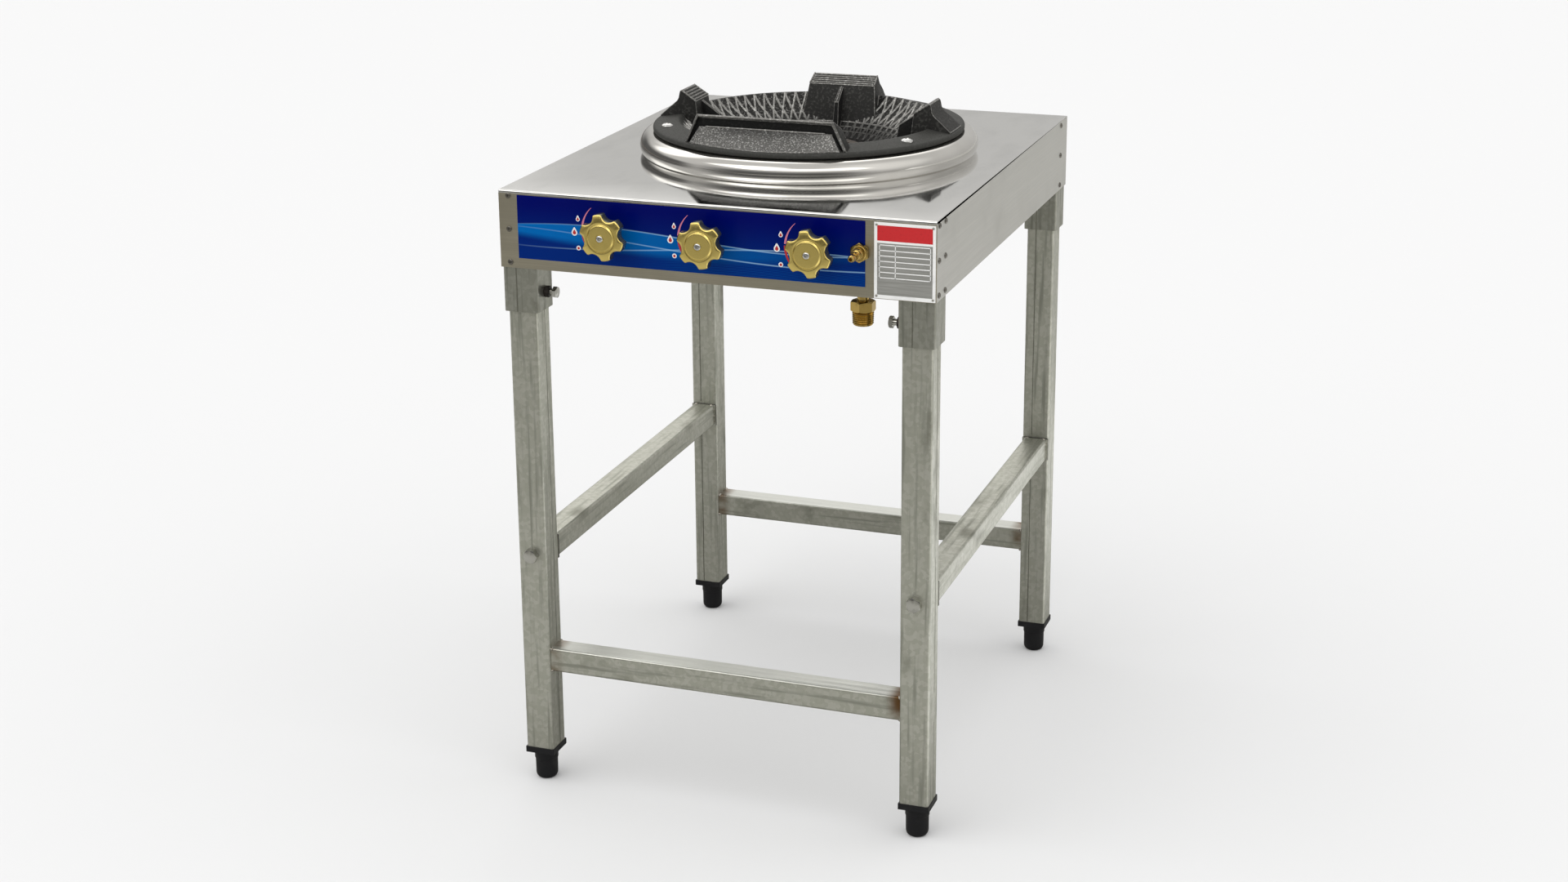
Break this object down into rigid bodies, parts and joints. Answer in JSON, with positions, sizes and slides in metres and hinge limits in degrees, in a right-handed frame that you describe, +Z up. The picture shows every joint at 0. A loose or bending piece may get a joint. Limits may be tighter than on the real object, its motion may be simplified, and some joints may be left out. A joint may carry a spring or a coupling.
{
  "type": "wok range",
  "caption": "Free-standing gas wok range: polished steel box on a square-tube stand, with star knobs, a cast fire bowl with wok lugs, a trim ring and screw-in feet.",
  "frame": {"origin": "on the floor, below the middle of the overall box", "axes": "+X to the right as seen from the front, +Y to the back, +Z up"},
  "size_m": [0.5636, 0.6998, 0.874],
  "materials": {
    "polished_steel": "mirror-polished stainless sheet",
    "satin_steel": "satin stainless sheet",
    "front_print": "printed blue front sheet",
    "plate_print": "printed plate with no words",
    "galvanised": "galvanised tube with spangle and stains",
    "socket_steel": "zinc-coated tube and plate",
    "bolt_zinc": "zinc-plated fasteners",
    "black_nut": "black oxide steel",
    "foot_plastic": "black moulded plastic",
    "small_screw": "bright plated screws",
    "chrome_ring": "polished trim",
    "iron": "bare sand casting",
    "burner_iron": "bare cast burner",
    "burner_steel": "plain steel",
    "gas_pipe": "silver-painted pipe",
    "brass": "plain brass",
    "bright_nut": "bright plated",
    "knob_gold": "satin gold with dark sides"
  },
  "bodies": {
    "range": {"top_panel": "polished_steel", "front_panel": "satin_steel", "back_panel": "satin_steel", "left_panel": "satin_steel", "right_panel": "satin_steel", "control_fascia": "front_print", "rating_plate": "plate_print", "leg_front_left": "galvanised", "leg_front_right": "galvanised", "leg_rear_left": "galvanised", "leg_rear_right": "galvanised", "front_rail": "galvanised", "rear_rail": "galvanised", "side_rail_left": "galvanised", "side_rail_right": "galvanised", "leg_socket_front_left": "socket_steel", "leg_socket_front_right": "socket_steel", "leg_socket_rear_left": "socket_steel", "leg_socket_rear_right": "socket_steel", "rail_end_plates": "socket_steel", "rail_bolts": "bolt_zinc", "rail_nuts": "bolt_zinc", "clamp_screws": "bolt_zinc", "clamp_nuts": "black_nut", "foot_plugs": "foot_plastic", "panel_screws": "small_screw", "support_screws": "small_screw", "trim_ring": "chrome_ring", "wok_support": "iron", "burner_core": "burner_iron", "burner_ring": "burner_iron", "burner_bracket": "burner_steel", "mixing_tube_outer": "burner_steel", "mixing_tube_core": "burner_steel", "gas_manifold": "gas_pipe", "gas_inlet": "brass", "lighter_nipple": "brass", "gas_jets": "brass", "pilot_burner": "brass", "thermocouple": "brass", "valve_body_outer": "brass", "valve_body_core": "brass", "valve_body_pilot": "brass", "valve_nuts": "bright_nut"},
    "valve_plug_outer": {"valve_plug_outer": "brass"},
    "knob_outer": {"knob_outer": "knob_gold", "spindle_outer": "bright_nut"},
    "valve_plug_core": {"valve_plug_core": "brass"},
    "knob_core": {"knob_core": "knob_gold", "spindle_core": "bright_nut"},
    "valve_plug_pilot": {"valve_plug_pilot": "brass"},
    "knob_pilot": {"knob_pilot": "knob_gold", "spindle_pilot": "bright_nut"},
    "foot_front_left": {"levelling_foot_front_left": "foot_plastic"},
    "foot_front_right": {"levelling_foot_front_right": "foot_plastic"},
    "foot_rear_left": {"levelling_foot_rear_left": "foot_plastic"},
    "foot_rear_right": {"levelling_foot_rear_right": "foot_plastic"},
    "air_shutter_outer": {"air_shutter_outer": "burner_steel"},
    "air_shutter_core": {"air_shutter_core": "burner_steel"}
  },
  "joints": [
    {"name": "knob_turn_outer", "type": "hinge", "parent": "range", "child": "valve_plug_outer", "pos_m": [-0.12992, -0.3119, 0.757], "axis": [0, -1, 0], "range_deg": [0, 90]},
    {"name": "knob_push_outer", "type": "slide", "parent": "valve_plug_outer", "child": "knob_outer", "axis": [0, 1, 0], "range_m": [0, 0.004], "stiffness_N_per_m": 1500, "springref_m": -0.002},
    {"name": "knob_turn_core", "type": "hinge", "parent": "range", "child": "valve_plug_core", "pos_m": [-0.00392, -0.3119, 0.757], "axis": [0, -1, 0], "range_deg": [0, 90]},
    {"name": "knob_push_core", "type": "slide", "parent": "valve_plug_core", "child": "knob_core", "axis": [0, 1, 0], "range_m": [0, 0.004], "stiffness_N_per_m": 1500, "springref_m": -0.002},
    {"name": "knob_turn_pilot", "type": "hinge", "parent": "range", "child": "valve_plug_pilot", "pos_m": [0.13216, -0.3119, 0.757], "axis": [0, -1, 0], "range_deg": [0, 90]},
    {"name": "knob_push_pilot", "type": "slide", "parent": "valve_plug_pilot", "child": "knob_pilot", "axis": [0, 1, 0], "range_m": [0, 0.004], "stiffness_N_per_m": 1500, "springref_m": -0.002},
    {"name": "foot_height_front_left", "type": "slide", "parent": "range", "child": "foot_front_left", "axis": [0, 0, -1], "range_m": [0, 0.02]},
    {"name": "foot_height_front_right", "type": "slide", "parent": "range", "child": "foot_front_right", "axis": [0, 0, -1], "range_m": [0, 0.02]},
    {"name": "foot_height_rear_left", "type": "slide", "parent": "range", "child": "foot_rear_left", "axis": [0, 0, -1], "range_m": [0, 0.02]},
    {"name": "foot_height_rear_right", "type": "slide", "parent": "range", "child": "foot_rear_right", "axis": [0, 0, -1], "range_m": [0, 0.02]},
    {"name": "air_shutter_turn_outer", "type": "hinge", "parent": "range", "child": "air_shutter_outer", "pos_m": [-0.12992, -0.2367, 0.757], "axis": [0, 1, 0], "range_deg": [0, 45]},
    {"name": "air_shutter_turn_core", "type": "hinge", "parent": "range", "child": "air_shutter_core", "pos_m": [-0.00392, -0.2367, 0.757], "axis": [0, 1, 0], "range_deg": [0, 45]}
  ]
}
